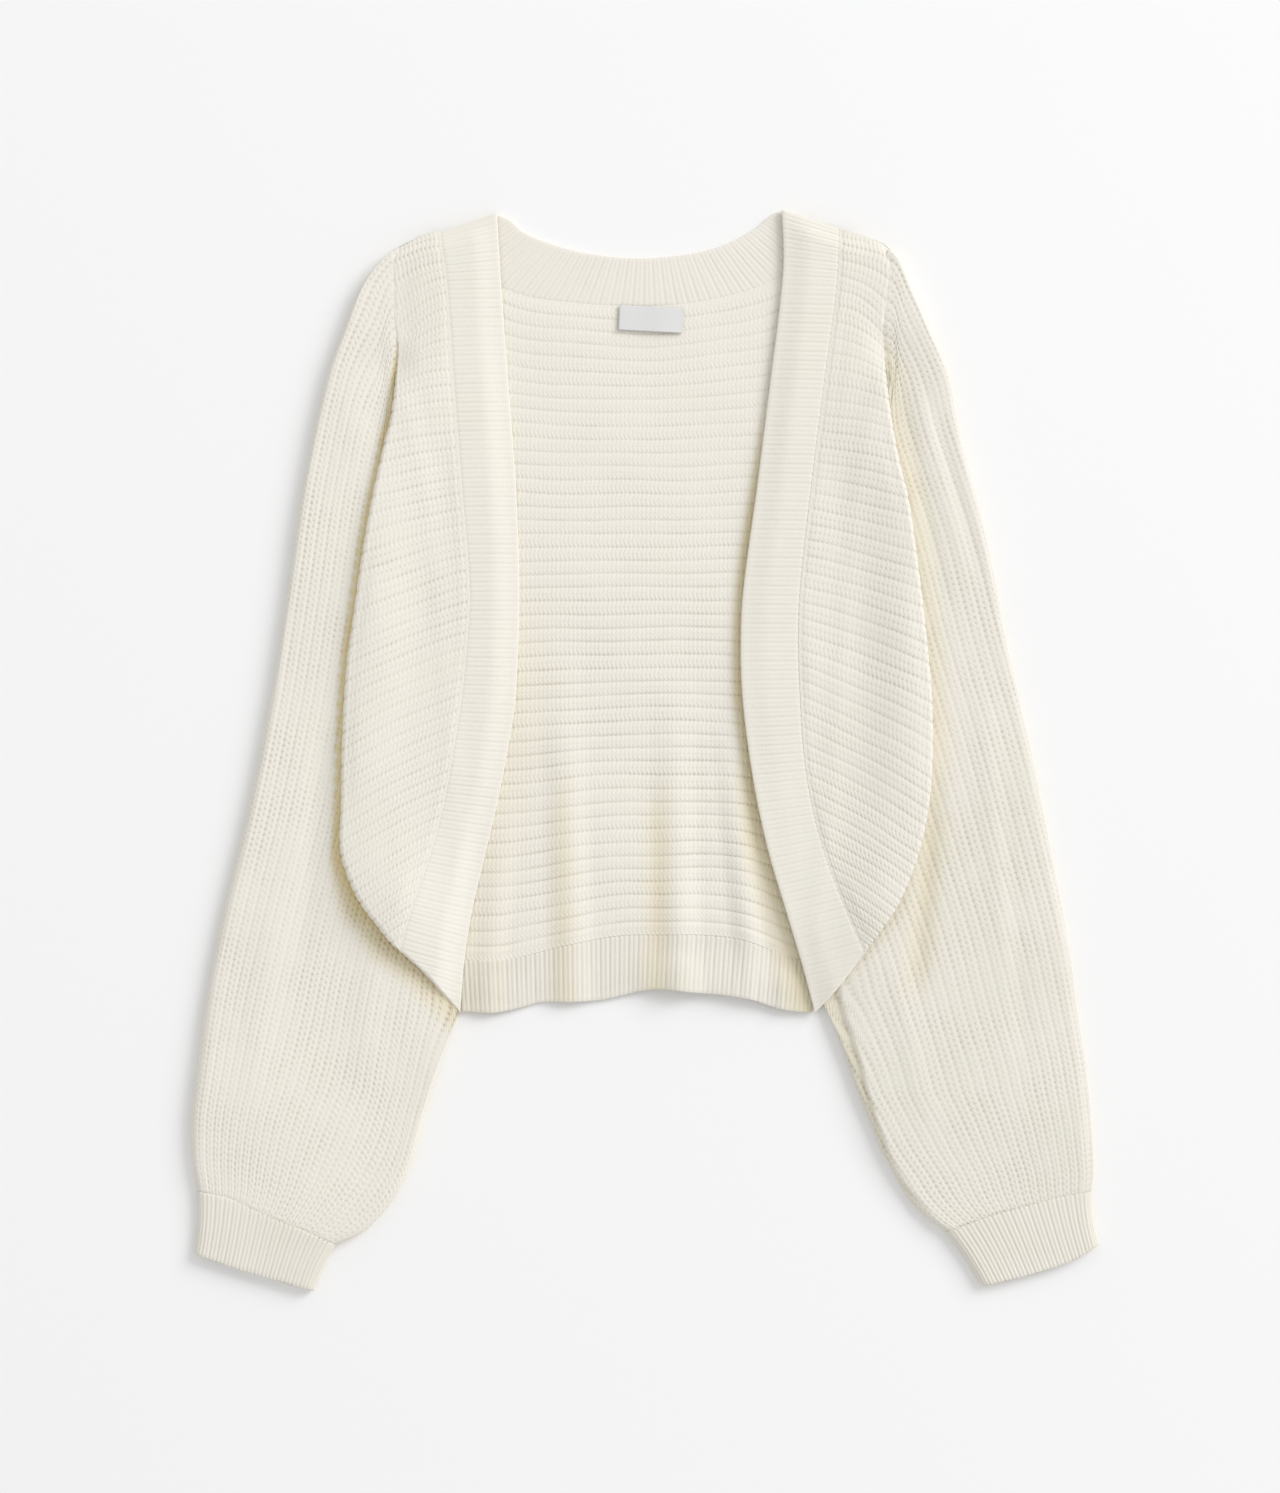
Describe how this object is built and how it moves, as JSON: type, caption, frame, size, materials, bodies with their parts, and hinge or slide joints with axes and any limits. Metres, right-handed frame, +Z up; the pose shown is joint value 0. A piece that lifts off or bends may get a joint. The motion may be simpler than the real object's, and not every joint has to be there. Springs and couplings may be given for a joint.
{
  "type": "bolero",
  "caption": "Open-front bolero in chunky sideways rib with wide batwing sleeves, ribbed bands and cuffs, laid flat with its fronts folded over the sleeves.",
  "frame": {"origin": "bottom centre of the bounding box, on the surface that the garment lies on", "axes": "+X to the viewer's right looking down on the garment, +Y towards the neck, +Z up, away from the surface"},
  "size_m": [0.5072, 0.6045, 0.0155],
  "materials": {
    "back_knit": "matt",
    "front_knit": "matt",
    "sleeve_knit": "matt",
    "band_knit": "matt",
    "cuff_knit": "matt",
    "label_satin": "satin"
  },
  "bodies": {
    "root": {"back": "back_knit", "front_left": "front_knit", "front_right": "front_knit", "sleeve_left": "sleeve_knit", "sleeve_right": "sleeve_knit", "neck_band": "band_knit", "front_band_left": "band_knit", "front_band_right": "band_knit", "hem_band": "band_knit", "cuff_left": "cuff_knit", "cuff_right": "cuff_knit", "label": "label_satin"}
  },
  "joints": []
}
